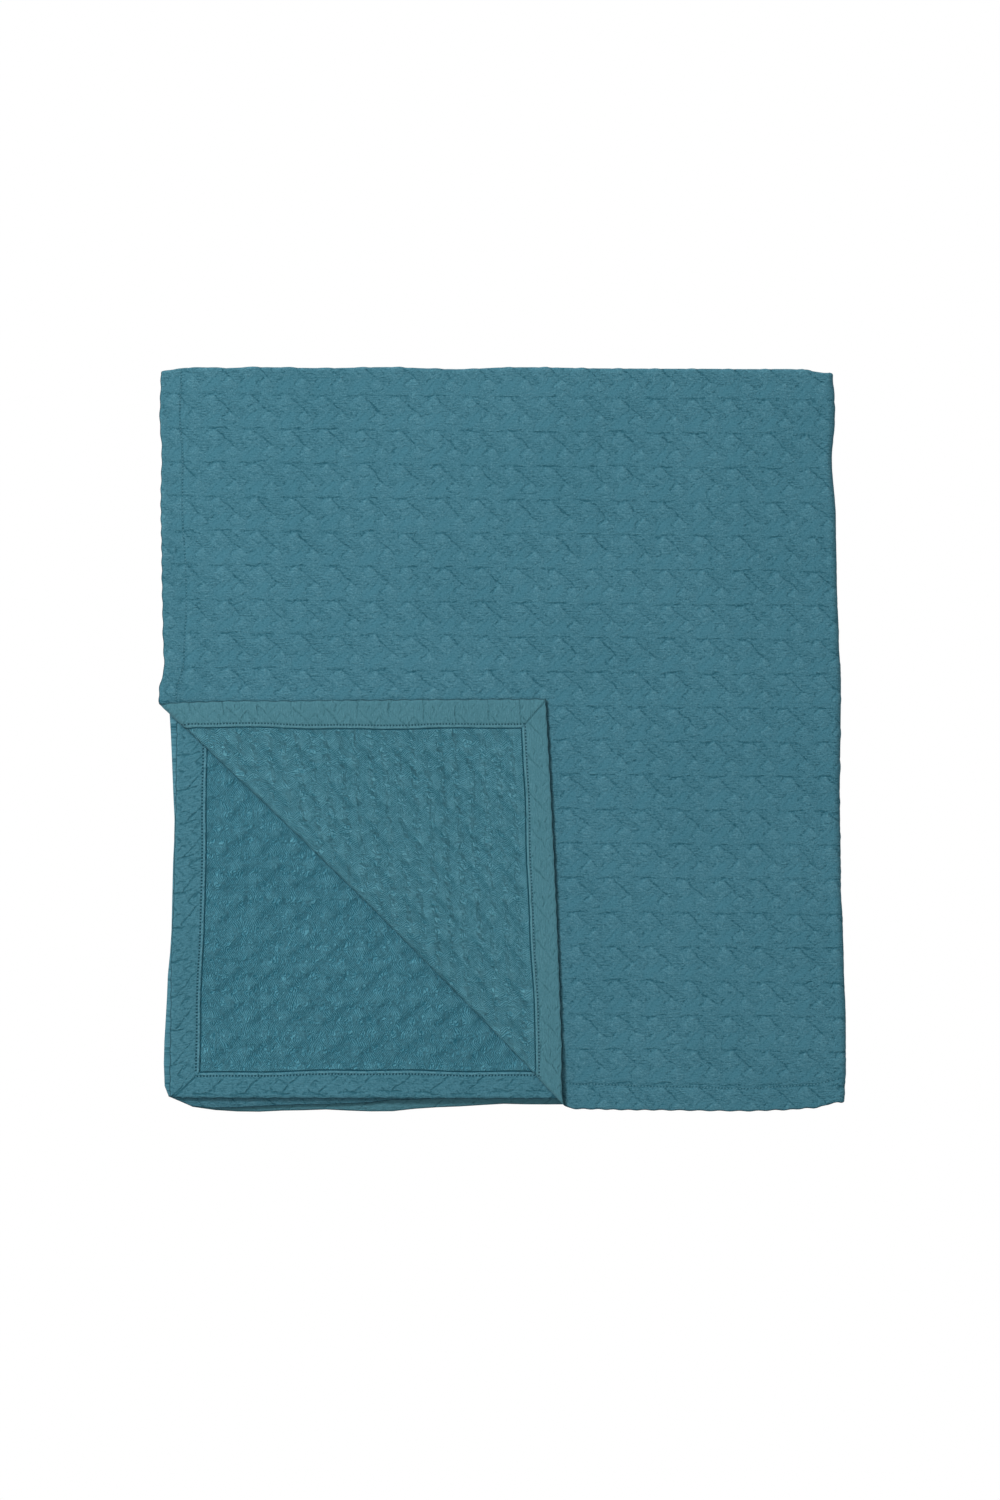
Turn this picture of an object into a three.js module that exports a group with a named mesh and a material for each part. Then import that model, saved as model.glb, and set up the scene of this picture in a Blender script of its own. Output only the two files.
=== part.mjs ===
// A matelasse throw, 130 x 180 cm, folded in half and then in thirds, with the near left
// corner of its top layer turned back. Millimetres. X runs to the right and Y away from the
// reader as the pile lies on a table, and Z is up.
import * as THREE from "three";

// The flat cloth, and how thick and how far apart its layers lie.
const LENGTH = 1800;
const WIDTH = 1300;
const THICKNESS = 1.6;
const PITCH = 3.2;
const HEM = { width: 25, step: 0.5, slope: 3 };

// The folded pile: three panels along the length, two halves across the width.
const PANEL = LENGTH / 3;
const HALF = WIDTH / 2;
const SIDE = PANEL / 2;
const FRONT = 323;
const FACE = THICKNESS / 2;
const RADIUS = PITCH / 2;
const BUNDLE = PITCH;
const LAYERS = {
  bottom: RADIUS + FACE,
  middle: RADIUS + FACE + 2 * BUNDLE,
  top: RADIUS + FACE + 4 * BUNDLE,
};

// The quilting: small lozenges in staggered rows, on columns that lean a little.
const QUILT = { across: 32.4, along: 30, lean: 0.06, x: 3.5, y: 291.4 };
const RISE = { lozenge: 0.5, hollow: -0.2 };

// The turned corner: where its crease meets the left and front edges, how far it bows,
// its radius, and how the corner settles on the layer below and is pulled out of square.
const CREASE = { left: 31, front: 57, bow: 4, radius: 3.2, settle: 45, lean: 0.074 };

// How far each edge stands out from the plain rectangle, at places along it.
// Left and right edges go by Y, the fold away from the reader goes by X.
const LEFT_HEM = [
  { at: -310, out: -2.5 },
  { at: -263, out: -2.1 },
  { at: -184, out: -1.3 },
  { at: -104, out: 0 },
  { at: -25, out: 2 },
  { at: 10, out: 2.2 },
  { at: 30, out: 1.6 },
  { at: 42, out: 1.2 },
  { at: 64, out: -3.2 },
  { at: 98, out: -2.1 },
  { at: 152, out: -1.2 },
  { at: 210, out: -0.3 },
  { at: 253, out: -1.2 },
  { at: 283, out: 0.6 },
  { at: 320, out: -0.4 },
];
const UNDER_HEM = [
  { at: -320, out: -8 },
  { at: -214, out: -9 },
  { at: -125, out: -11.7 },
  { at: -46, out: -13.4 },
  { at: 30, out: -14.3 },
  { at: 320, out: -12 },
];
const LEFT_FOLD = [
  { at: -315, out: -3 },
  { at: -286, out: -2.1 },
  { at: -254, out: -3.9 },
  { at: -220, out: -5.6 },
  { at: -176, out: -9 },
  { at: -132, out: -9.9 },
  { at: -78, out: -11.7 },
  { at: -35, out: -9.9 },
  { at: 8, out: -8.2 },
  { at: 35, out: -6.4 },
  { at: 122, out: -5.5 },
  { at: 320, out: -5.5 },
];
const RIGHT_FOLD = [
  { at: -318, out: -0.8 },
  { at: -297, out: 0.6 },
  { at: -253, out: 0.6 },
  { at: -198, out: -1.2 },
  { at: -165, out: -2.1 },
  { at: -133, out: -3.8 },
  { at: -46, out: -4.7 },
  { at: 53, out: -3.8 },
  { at: 86, out: -5.6 },
  { at: 141, out: -7.3 },
  { at: 196, out: -8.2 },
  { at: 250, out: -11.7 },
  { at: 283, out: -9.1 },
  { at: 306, out: -9.4 },
  { at: 322, out: -11 },
];
const RIGHT_HEM = [
  { at: -320, out: -9 },
  { at: 0, out: -14 },
  { at: 320, out: -18 },
];
const FAR_FOLD = [
  { at: -300, out: -0.5 },
  { at: -274, out: 2 },
  { at: -248, out: 1.2 },
  { at: -220, out: 2 },
  { at: -156, out: 1.2 },
  { at: -104, out: 2 },
  { at: -38, out: 0.3 },
  { at: 14, out: 2 },
  { at: 100, out: 0.8 },
  { at: 262, out: 0.3 },
  { at: 282, out: 0 },
  { at: 292, out: -3 },
];

// The near hems go by the distance from the throw's first corner, over all three panels.
const NEAR_HEM = [
  { at: 0, out: -1 },
  { at: 300, out: -1.3 },
  { at: 341, out: -2.6 },
  { at: 370, out: 1.7 },
  { at: 420, out: 2.6 },
  { at: 520, out: 3.5 },
  { at: 550, out: 2.6 },
  { at: 577, out: 0.9 },
  { at: 600, out: -4 },
  { at: 625, out: -3.5 },
  { at: 700, out: -4 },
  { at: 854, out: -2 },
  { at: 901, out: -2 },
  { at: 942, out: 0 },
  { at: 975, out: 1.7 },
  { at: 1008, out: 5.1 },
  { at: 1023, out: 4.4 },
  { at: 1060, out: 2.4 },
  { at: 1100, out: 4.1 },
  { at: 1134, out: 4.8 },
  { at: 1165, out: 3 },
  { at: 1185, out: 0 },
  { at: 1200, out: -8 },
  { at: 1240, out: -9 },
  { at: 1800, out: -9 },
];
const NEAR_HEM_BELOW = [
  { at: 0, out: -8.7 },
  { at: 14, out: -7.4 },
  { at: 380, out: -7 },
  { at: 560, out: -9 },
  { at: 600, out: -14 },
  { at: 640, out: -11 },
  { at: 900, out: -9 },
  { at: 999, out: -5.6 },
  { at: 1026, out: -3 },
  { at: 1067, out: -2 },
  { at: 1107, out: -0.5 },
  { at: 1153, out: 1.7 },
  { at: 1180, out: 0 },
  { at: 1200, out: -8 },
  { at: 1240, out: -12 },
  { at: 1800, out: -12 },
];

// The chart is the cloth laid flat with each fold drawn out to a wide band,
// so that the steps round a fold are as far apart as the points beside it.
const BAND = 150;
const CHART = { u: LENGTH + 2 * BAND, v: WIDTH + BAND };
const ARC_STEPS = 6;
const STEP = { fine: 32, coarse: 75, hem: 11 };
const FREE = 9;
const JITTER = 0.02;
const BULGE = 1.5;
const FAR_AWAY = 1e5;

const clamp = (value, low, high) => Math.min(high, Math.max(low, value));
const mix = (a, b, share) => a + (b - a) * share;
const smooth = (share) => share * share * (3 - 2 * share);

// Reads a table of an edge between its rows, eased from row to row.
function edge(table, at) {
  const after = table.findIndex((row) => row.at >= at);
  if (after === 0) return table[0].out;
  if (after < 0) return table[table.length - 1].out;
  const a = table[after - 1];
  const b = table[after];
  return mix(a.out, b.out, smooth((at - a.at) / (b.at - a.at)));
}

// Where a chart distance falls: the panel it is in and the share of it, and the turn so far.
function section(distance, panel, count) {
  const stride = panel + BAND;
  const index = clamp(Math.floor(distance / stride), 0, count - 1);
  const rest = distance - index * stride;
  return { index, share: Math.min(rest / panel, 1), turn: Math.max(rest - panel, 0) / BAND };
}

// The crease's own frame: its middle, its direction and the way to the turned corner.
const creaseStart = new THREE.Vector2(-SIDE, CREASE.left);
const creaseEnd = new THREE.Vector2(CREASE.front, -FRONT);
const creaseMiddle = creaseStart.clone().add(creaseEnd).multiplyScalar(0.5);
const creaseHalf = creaseStart.distanceTo(creaseEnd) / 2;
const along = creaseEnd.clone().sub(creaseStart).normalize();
const outward = new THREE.Vector2(along.y, -along.x);

// Turns the near left corner of the top layer over its face, about the crease.
function turnCorner(x, y, dx, dy, w) {
  const spot = new THREE.Vector2(x, y).sub(creaseMiddle);
  const q = spot.dot(along);
  const bow = CREASE.bow * (1 - Math.min(1, (q / creaseHalf) ** 2));
  const past = spot.dot(outward) + bow + CREASE.radius;
  if (past <= 0) return { x: x + dx, y: y + dy, z: w };
  const r = CREASE.radius;
  const angle = Math.min(past / r, Math.PI);
  const over = Math.max(past - Math.PI * r, 0);
  const shift = new THREE.Vector2(dx, dy);
  const n = (r - w) * Math.sin(angle) - over - bow - r + shift.dot(outward) * Math.cos(angle);
  const place = creaseMiddle.clone();
  place.addScaledVector(along, q + shift.dot(along)).addScaledVector(outward, n);
  place.x -= CREASE.lean * over;
  const drop = (2 * r - PITCH) * smooth(clamp(over / CREASE.settle, 0, 1));
  return { x: place.x, y: place.y, z: r - (r - w) * Math.cos(angle) - drop };
}

// The folded place of a chart point that stands w above the cloth's middle on its right side.
function folded(u, v, w) {
  const across = section(v, HALF, 2);
  const length = section(u, PANEL, 3);
  const below = across.index === 1;
  const angle = below ? Math.PI : across.turn * Math.PI;
  const level = RADIUS * Math.cos(angle);
  const height = (RADIUS + w) * Math.cos(angle);
  const cloth = (length.index + length.share) * PANEL;
  const back = length.index === 1;
  const flatX = -SIDE + PANEL * (back ? 1 - length.share : length.share);
  const flatY = -FRONT + 2 * FRONT * (below ? 1 - across.share : across.share);
  const far = FRONT + edge(FAR_FOLD, flatX) - RADIUS - FACE;
  const near = -FRONT - edge(below ? NEAR_HEM_BELOW : NEAR_HEM, cloth);
  const reach = below ? 1 - across.share : across.share;
  const y = mix(near, far, reach) + (RADIUS + w) * Math.sin(angle);

  const right = SIDE + edge(RIGHT_FOLD, flatY) - BUNDLE - RADIUS - FACE;
  const left = -SIDE - edge(LEFT_FOLD, flatY) + BUNDLE + RADIUS + FACE;
  const under = (1 - level / RADIUS) / 2;
  const free = -SIDE - mix(edge(LEFT_HEM, flatY), edge(UNDER_HEM, flatY), under);
  const last = SIDE + edge(RIGHT_HEM, flatY);
  const turn = length.turn * Math.PI;
  if (length.index === 0) {
    const x = mix(free, right, length.share);
    if (turn > 0) {
      const r = BUNDLE + height;
      return [x + r * Math.sin(turn), y, LAYERS.top - BUNDLE + r * Math.cos(turn)];
    }
    if (across.turn > 0 || below) return [x, y, LAYERS.top + height];
    const corner = turnCorner(flatX, flatY, x - flatX, y - flatY, w);
    return [corner.x, corner.y, LAYERS.top + RADIUS + corner.z];
  }
  if (length.index === 1) {
    const r = BUNDLE - height;
    const x = mix(right, left, length.share) - r * Math.sin(turn);
    const z = turn > 0 ? LAYERS.middle - BUNDLE + r * Math.cos(turn) : LAYERS.middle - height;
    return [x, y, z];
  }
  return [mix(left, last, length.share), y, LAYERS.bottom + height];
}

// Chart distances along a panel or half, with the steps round each fold after it.
function stations(panel, count, steps) {
  const list = [];
  for (let index = 0; index < count; index += 1) {
    const start = index * (panel + BAND);
    const parts = Math.round(panel / steps[index]);
    for (let i = 0; i < parts; i += 1) list.push(start + (panel * i) / parts);
    if (index === count - 1) list.push(start + panel);
    else for (let k = 0; k < ARC_STEPS; k += 1) list.push(start + panel + (BAND * k) / ARC_STEPS);
  }
  return list;
}

// The crease as rows of points from the left edge to the near edge, through its bend.
// Row 0 is on the side of the pile and the last row on the side of the turned corner.
const CREASE_ROWS = 7;
const CREASE_COLUMNS = 16;
const stepIn = (HEM.width - HEM.slope / 2) / (CREASE.front + SIDE);
const stepOut = (HEM.width + HEM.slope / 2) / (CREASE.front + SIDE);
const creaseShares = [0, stepIn];
for (let k = 0; k <= CREASE_COLUMNS; k += 1) {
  creaseShares.push(mix(stepOut, 1 - stepOut, k / CREASE_COLUMNS));
}
creaseShares.push(1 - stepIn, 1);

function creaseRow(past) {
  return creaseShares.map((share) => {
    const offset = past - CREASE.radius - CREASE.bow * (1 - (2 * share - 1) ** 2);
    const atFront = CREASE.front + SIDE + offset / outward.x;
    const atLeft = CREASE.left + FRONT + offset / outward.y;
    return [atFront * share, (atLeft * (1 - share) * HALF) / (2 * FRONT)];
  });
}
const bendWidth = Math.PI * CREASE.radius;
const creaseRows = [];
for (let j = 0; j <= CREASE_ROWS; j += 1) creaseRows.push(creaseRow((bendWidth * j) / CREASE_ROWS));
const firstRow = creaseRows[0];
const lastRow = creaseRows[CREASE_ROWS];

// How far a chart point of the top layer lies past the crease, towards the corner.
function pastCrease(u, v) {
  const spot = new THREE.Vector2(u - SIDE, (v / HALF) * 2 * FRONT - FRONT).sub(creaseMiddle);
  return spot.dot(outward);
}

// The chart's edge, anticlockwise from the corner that is turned.
const alongU = stations(PANEL, 3, [STEP.fine, STEP.fine, STEP.coarse]);
const alongV = stations(HALF, 2, [STEP.fine, STEP.fine]);
const creaseFront = { main: firstRow.at(-1)[0], corner: lastRow.at(-1)[0] };
const creaseLeft = { main: firstRow[0][1], corner: lastRow[0][1] };
const inside = (list, low, high) => list.filter((at) => at > low + FREE && at < high - FREE);
const sides = {
  frontCorner: [0, ...inside(alongU, 0, creaseFront.corner)].map((u) => [u, 0]),
  frontMain: [creaseFront.main, ...inside(alongU, creaseFront.main, CHART.u)].map((u) => [u, 0]),
  right: [0, ...inside(alongV, 0, CHART.v)].map((v) => [CHART.u, v]),
  far: [CHART.u, ...inside(alongU, 0, CHART.u).reverse()].map((u) => [u, CHART.v]),
  leftMain: [CHART.v, ...inside(alongV, creaseLeft.main, CHART.v).reverse()].map((v) => [0, v]),
  leftCorner: [creaseLeft.corner, ...inside(alongV, 0, creaseLeft.corner).reverse()].map((v) => [0, v]),
};

// Outlines of the two parts of the chart on either side of the crease's bend.
const { frontMain, right, far, leftMain, frontCorner, leftCorner } = sides;
const mainOutline = [frontMain, right, far, leftMain, firstRow.slice(0, -1)];
const cornerOutline = [frontCorner, lastRow.slice(1).reverse(), leftCorner];

// Extra thickness on the wrong side over the turned-in hem.
function hemStep(u, v) {
  const depth = Math.min(u, v, CHART.u - u, CHART.v - v);
  const share = clamp((HEM.width + HEM.slope / 2 - depth) / HEM.slope, 0, 1);
  return HEM.step * smooth(share);
}

// Points on the lozenges and on the hollows between them, where a test of the place allows.
function quilting(allowed, turn) {
  const list = [];
  const columns = Math.ceil(PANEL / QUILT.across);
  const rows = Math.ceil(HALF / QUILT.along) * 2;
  for (let j = -rows; j <= rows; j += 1) {
    for (let i = -2 * columns; i <= 2 * columns; i += 1) {
      const y = QUILT.y + (j * QUILT.along) / 2;
      const x = QUILT.x + (i * QUILT.across) / 2 + QUILT.lean * (QUILT.y - y);
      const u = x + SIDE;
      const v = ((y + FRONT) * HALF) / (2 * FRONT);
      const rise = (i + j) % 2 === 0 ? RISE.lozenge : RISE.hollow;
      if (allowed(u, v)) list.push([u, turn ? CHART.v - v : v, rise]);
    }
  }
  return list;
}

// Rows of points on either side of a hem's inner edge, in the chart's lower left corner.
function hemRows(length, turn) {
  const list = [];
  for (const depth of [HEM.width - HEM.slope / 2, HEM.width + HEM.slope / 2]) {
    list.push([depth, turn ? CHART.v - depth : depth, 0]);
    for (let at = depth + STEP.hem; at < length; at += STEP.hem) {
      list.push([depth, turn ? CHART.v - at : at, 0], [at, turn ? CHART.v - depth : depth, 0]);
    }
  }
  return list;
}

const within = (u, v, gap) => u > gap && v > gap && u < CHART.u - gap && v < CHART.v - gap;
const onTop = (u, v) => u < PANEL && v < HALF;
const inCorner = (u, v) => onTop(u, v) && pastCrease(u, v) > bendWidth - CREASE.radius + FREE;
const offCrease = (u, v) => !onTop(u, v) || pastCrease(u, v) < -CREASE.radius - CREASE.bow - FREE;
const underFlap = (u, v) => u < CREASE.front + SIDE - 30 && v < CREASE.left + FRONT - 8;
const shows = (u, v) => within(u, v, FREE) && onTop(u, v) && offCrease(u, v) && !underFlap(u, v);
const cornerQuilt = (u, v) => inCorner(u, v) && Math.min(u, v) > HEM.width + 5;
const belowShows = (u, v) => pastCrease(u, v) > -FREE && Math.min(u, v) > HEM.width + 5;

// A plain net of points over the whole chart, with every second point along the panels.
const everySecond = (at, panel, place) => at % (panel + BAND) >= panel || place % 2 === 0;
const net = [];
alongU.forEach((u, i) => {
  alongV.forEach((v, j) => {
    const kept = everySecond(u, PANEL, i) && everySecond(v, HALF, j);
    if (kept && within(u, v, FREE)) net.push([u, v, 0]);
  });
});
const hidden = net.filter(([u, v]) => offCrease(u, v));
const hemLength = CREASE.left + FRONT;
const rightSide = {
  main: [...hidden.filter(([u, v]) => !shows(u, v)), ...quilting(shows, false)],
  corner: net.filter(([u, v]) => inCorner(u, v)),
};
const wrongSide = {
  main: [
    ...hidden.filter(([u, v]) => !(u < PANEL && v > HALF + BAND && belowShows(u, CHART.v - v))),
    ...quilting(belowShows, true).filter(([u, v]) => within(u, v, FREE)),
    ...hemRows(hemLength, true),
  ],
  corner: [
    ...quilting(cornerQuilt, false),
    ...hemRows(hemLength, false).filter(([u, v]) => inCorner(u, v)),
  ],
};

// A circle through three points, with the triangle it belongs to.
function circled(points, ids) {
  const [a, b, c] = ids.map((id) => points[id]);
  const bx = b[0] - a[0];
  const by = b[1] - a[1];
  const cx = c[0] - a[0];
  const cy = c[1] - a[1];
  const twice = 2 * (bx * cy - by * cx);
  const x = (cy * (bx * bx + by * by) - by * (cx * cx + cy * cy)) / twice;
  const y = (bx * (cx * cx + cy * cy) - cx * (bx * bx + by * by)) / twice;
  const turned = twice > 0 ? ids : [ids[0], ids[2], ids[1]];
  return { ids: turned, x: a[0] + x, y: a[1] + y, squared: x * x + y * y };
}

// Joins a convex cloud of flat points into triangles with no other point in their circles.
function triangulate(cloud) {
  const count = cloud.length;
  const points = [...cloud, [-FAR_AWAY, -FAR_AWAY], [FAR_AWAY, -FAR_AWAY], [0, FAR_AWAY]];
  const order = cloud.map((_, id) => id).sort((a, b) => cloud[a][0] - cloud[b][0]);
  const done = [];
  let open = [circled(points, [count, count + 1, count + 2])];
  for (const id of order) {
    const [x, y] = points[id];
    const rim = new Map();
    const kept = [];
    for (const face of open) {
      const dx = x - face.x;
      const dy = y - face.y;
      if (dx > 0 && dx * dx > face.squared) done.push(face);
      else if (dx * dx + dy * dy > face.squared) kept.push(face);
      else {
        face.ids.forEach((from, corner) => {
          const to = face.ids[(corner + 1) % 3];
          if (!rim.delete(`${to},${from}`)) rim.set(`${from},${to}`, [from, to]);
        });
      }
    }
    open = kept;
    for (const [from, to] of rim.values()) open.push(circled(points, [from, to, id]));
  }
  return [...done, ...open].map((face) => face.ids).filter((ids) => Math.max(...ids) < count);
}

// The points of an outline, moved out a little so that each side is a shallow curve.
function bulged(outline) {
  const list = [];
  outline.forEach((side, index) => {
    const start = new THREE.Vector2(...side[0]);
    const end = new THREE.Vector2(...outline[(index + 1) % outline.length][0]);
    const line = end.clone().sub(start);
    const out = new THREE.Vector2(line.y, -line.x).normalize();
    for (const point of side) {
      const share = new THREE.Vector2(...point).sub(start).dot(line) / line.lengthSq();
      const spot = start.clone().addScaledVector(line, share);
      spot.addScaledVector(out, BULGE * 4 * share * (1 - share));
      list.push(spot.toArray());
    }
  });
  return list;
}

const corners = [];
function surface(point, upper) {
  const [u, v, rise = 0] = point;
  return upper ? folded(u, v, FACE + rise) : folded(u, v, -FACE - rise - hemStep(u, v));
}
function addFace(a, b, c, upper) {
  const points = upper ? [a, b, c] : [a, c, b];
  for (const point of points) corners.push(...surface(point, upper));
}

// One side of the cloth on one side of the crease.
function addRegion(outline, inner, upper) {
  const points = [...outline.flat(), ...inner];
  const nudged = inner.map(([u, v], i) => [u + JITTER * Math.sin(i), v + JITTER * Math.cos(3 * i)]);
  for (const [a, b, c] of triangulate([...bulged(outline), ...nudged])) {
    addFace(points[a], points[b], points[c], upper);
  }
}

// The bend of the crease, row by row, on one side of the cloth.
function addBend(upper) {
  for (let j = 0; j < CREASE_ROWS; j += 1) {
    for (let k = 0; k < creaseShares.length - 1; k += 1) {
      const [a, b] = [creaseRows[j][k], creaseRows[j][k + 1]];
      const [c, d] = [creaseRows[j + 1][k + 1], creaseRows[j + 1][k]];
      addFace(a, d, b, upper);
      addFace(b, d, c, upper);
    }
  }
}

// The cloth's edge all round, between its two sides.
function addRim() {
  const atFront = creaseRows.slice(1).reverse().map((row) => row.at(-1));
  const atLeft = creaseRows.slice(0, -1).map((row) => row[0]);
  const loop = [...frontCorner, ...atFront, ...frontMain, ...right, ...far];
  loop.push(...leftMain, ...atLeft, ...leftCorner);
  loop.forEach((point, index) => {
    const next = loop[(index + 1) % loop.length];
    const under = [surface(point, false), surface(next, false)];
    const over = [surface(point, true), surface(next, true)];
    corners.push(...under[0], ...under[1], ...over[1], ...under[0], ...over[1], ...over[0]);
  });
}

for (const upper of [true, false]) {
  const inner = upper ? rightSide : wrongSide;
  addRegion(mainOutline, inner.main, upper);
  addRegion(cornerOutline, inner.corner, upper);
  addBend(upper);
}
addRim();

// The pile stands on the ground with the middle of its box over the origin.
const geometry = new THREE.BufferGeometry();
geometry.setAttribute("position", new THREE.Float32BufferAttribute(corners, 3));
geometry.computeBoundingBox();
const middle = geometry.boundingBox.getCenter(new THREE.Vector3());
geometry.translate(-middle.x, -middle.y, -geometry.boundingBox.min.z);
geometry.computeVertexNormals();

const cloth = new THREE.MeshStandardMaterial({ color: 0x437582, roughness: 0.95, metalness: 0 });
cloth.name = "matelasse";
const throwMesh = new THREE.Mesh(geometry, cloth);
throwMesh.name = "throw";

const group = new THREE.Group();
group.name = "matelasse_throw";
group.add(throwMesh);

export default group;
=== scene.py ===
# A folded matelasse throw seen from above: the fine surface of its cloth, its hems and stitches.
# Sizes are in millimetres until the last step of each mesh, which turns them into metres. The
# floor, the camera and the lamps are in metres.
import math

import bpy
import numpy as np
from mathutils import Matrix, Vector, noise
from mathutils.geometry import delaunay_2d_cdt


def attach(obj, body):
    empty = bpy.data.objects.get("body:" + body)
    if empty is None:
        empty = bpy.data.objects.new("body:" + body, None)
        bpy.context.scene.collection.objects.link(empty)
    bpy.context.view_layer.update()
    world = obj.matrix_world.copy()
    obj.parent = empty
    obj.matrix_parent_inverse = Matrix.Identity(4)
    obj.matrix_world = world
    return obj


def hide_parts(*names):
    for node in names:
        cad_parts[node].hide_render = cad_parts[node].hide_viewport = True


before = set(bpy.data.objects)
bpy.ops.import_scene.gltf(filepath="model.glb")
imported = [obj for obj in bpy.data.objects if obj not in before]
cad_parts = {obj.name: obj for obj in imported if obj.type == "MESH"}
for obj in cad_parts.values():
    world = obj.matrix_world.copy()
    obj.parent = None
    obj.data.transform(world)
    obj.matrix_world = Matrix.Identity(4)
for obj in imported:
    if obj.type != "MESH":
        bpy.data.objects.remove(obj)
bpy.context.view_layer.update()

MM = 0.001

# The flat cloth and how it is folded, with the same sizes as the frame.
LENGTH = 1800.0
WIDTH = 1300.0
THICKNESS = 1.6
# From the middle of one layer to the middle of the next.
PITCH = 3.2
HEM_WIDTH = 25.0
HEM_STEP = 0.5
HEM_SLOPE = 1.6
PANEL = LENGTH / 3
HALF = WIDTH / 2
SIDE = PANEL / 2
FRONT = 323.0
FACE = THICKNESS / 2
RADIUS = PITCH / 2
BUNDLE = PITCH
LAYER_BOTTOM = RADIUS + FACE
LAYER_MIDDLE = LAYER_BOTTOM + 2 * BUNDLE
LAYER_TOP = LAYER_BOTTOM + 4 * BUNDLE
# The crease of the turned corner: where it meets the left and the near side, how far it bows
# outward, the radius of its bend, and how far past it the corner has settled and how it leans.
CREASE = dict(left=31.0, front=57.0, bow=4.0, radius=3.2, settle=45.0, lean=0.074)

# How far each edge stands out from the plain rectangle (out), at places along it (at).
LEFT_HEM = [
    (-310, -2.5), (-263, -2.1), (-184, -1.3), (-104, 0), (-25, 2), (10, 2.2),
    (30, 1.6), (42, 1.2), (64, -3.2), (98, -2.1), (152, -1.2),
    (210, -0.3), (253, -1.2), (283, 0.6), (320, -0.4),
]
UNDER_HEM = [(-320, -8), (-214, -9), (-125, -11.7), (-46, -13.4), (30, -14.3), (320, -12)]
LEFT_FOLD = [
    (-315, -3), (-286, -2.1), (-254, -3.9), (-220, -5.6), (-176, -9), (-132, -9.9),
    (-78, -11.7), (-35, -9.9), (8, -8.2), (35, -6.4), (122, -5.5), (320, -5.5),
]
RIGHT_FOLD = [
    (-318, -0.8), (-297, 0.6), (-253, 0.6), (-198, -1.2), (-165, -2.1), (-133, -3.8),
    (-46, -4.7), (53, -3.8), (86, -5.6), (141, -7.3), (196, -8.2), (250, -11.7),
    (283, -9.1), (306, -9.4), (322, -11),
]
RIGHT_HEM = [(-320, -9), (0, -14), (320, -18)]
FAR_FOLD = [
    (-300, -0.5), (-274, 2), (-248, 1.2), (-220, 2), (-156, 1.2), (-104, 2),
    (-38, 0.3), (14, 2), (100, 0.8), (262, 0.3), (282, 0), (292, -3),
]
NEAR_HEM = [
    (0, -1), (300, -1.3), (341, -2.6), (370, 1.7), (420, 2.6), (520, 3.5), (550, 2.6),
    (577, 0.9), (600, -4), (625, -3.5), (700, -4), (854, -2), (901, -2), (942, 0),
    (975, 1.7), (1008, 5.1), (1023, 4.4), (1060, 2.4), (1100, 4.1), (1134, 4.8),
    (1165, 3), (1185, 0), (1200, -8), (1240, -9), (1800, -9),
]
NEAR_HEM_BELOW = [
    (0, -8.7), (14, -7.4), (380, -7), (560, -9), (600, -14), (640, -11), (900, -9),
    (999, -5.6), (1026, -3), (1067, -2), (1107, -0.5), (1153, 1.7), (1180, 0),
    (1200, -8), (1240, -12), (1800, -12),
]

# The chart is the cloth laid flat, with each fold a band wide enough for its steps.
# On the chart u runs along the cloth's length and v across it. On the cloth as it lies, s and t do.
BAND = 24.0
CHART_U = LENGTH + 2 * BAND
CHART_V = WIDTH + BAND
# Room between the points of the mesh where the cloth shows, and where it doesn't.
FINE = 2.58
COARSE = 20.0
OUTER_ARC = math.pi * (BUNDLE + RADIUS)
TOP_ARC = math.pi * RADIUS


def smooth(share):
    return share * share * (3 - 2 * share)


def mix(a, b, share):
    return a + (b - a) * share


def edge(table, at):
    """Reads a table of an edge between its rows, eased from row to row."""
    ats = np.array([row[0] for row in table], float)
    outs = np.array([row[1] for row in table], float)
    index = np.clip(np.searchsorted(ats, at) - 1, 0, len(ats) - 2)
    share = np.clip((at - ats[index]) / (ats[index + 1] - ats[index]), 0, 1)
    return mix(outs[index], outs[index + 1], smooth(share))


def section(distance, panel, count):
    """The panel that a chart distance is in, the share of it, and the turn round the fold after."""
    stride = panel + BAND
    index = np.clip(np.floor(distance / stride), 0, count - 1)
    rest = distance - index * stride
    return index, np.minimum(rest / panel, 1), np.maximum(rest - panel, 0) / BAND


crease_start = np.array([-SIDE, CREASE["left"]])
crease_end = np.array([CREASE["front"], -FRONT])
crease_middle = (crease_start + crease_end) / 2
crease_half = np.linalg.norm(crease_end - crease_start) / 2
along = (crease_end - crease_start) / (2 * crease_half)
outward = np.array([along[1], -along[0]])


def bow_at(q):
    return CREASE["bow"] * (1 - np.minimum(1, (q / crease_half) ** 2))


def turn_corner(x, y, dx, dy, w):
    """Turns the near left corner of the top layer over its face, about the crease."""
    sx, sy = x - crease_middle[0], y - crease_middle[1]
    q = sx * along[0] + sy * along[1]
    r = CREASE["radius"]
    bow = bow_at(q)
    past = sx * outward[0] + sy * outward[1] + bow + r
    angle = np.clip(past / r, 0, math.pi)
    over = np.maximum(past - math.pi * r, 0)
    shift_out = dx * outward[0] + dy * outward[1]
    shift_along = dx * along[0] + dy * along[1]
    n = (r - w) * np.sin(angle) - over - bow - r + shift_out * np.cos(angle)
    a = q + shift_along
    fx = crease_middle[0] + along[0] * a + outward[0] * n - CREASE["lean"] * over
    fy = crease_middle[1] + along[1] * a + outward[1] * n
    drop = (2 * r - PITCH) * smooth(np.clip(over / CREASE["settle"], 0, 1))
    fz = r - (r - w) * np.cos(angle) - drop
    flat = past <= 0
    return np.where(flat, x + dx, fx), np.where(flat, y + dy, fy), np.where(flat, w, fz)


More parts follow.
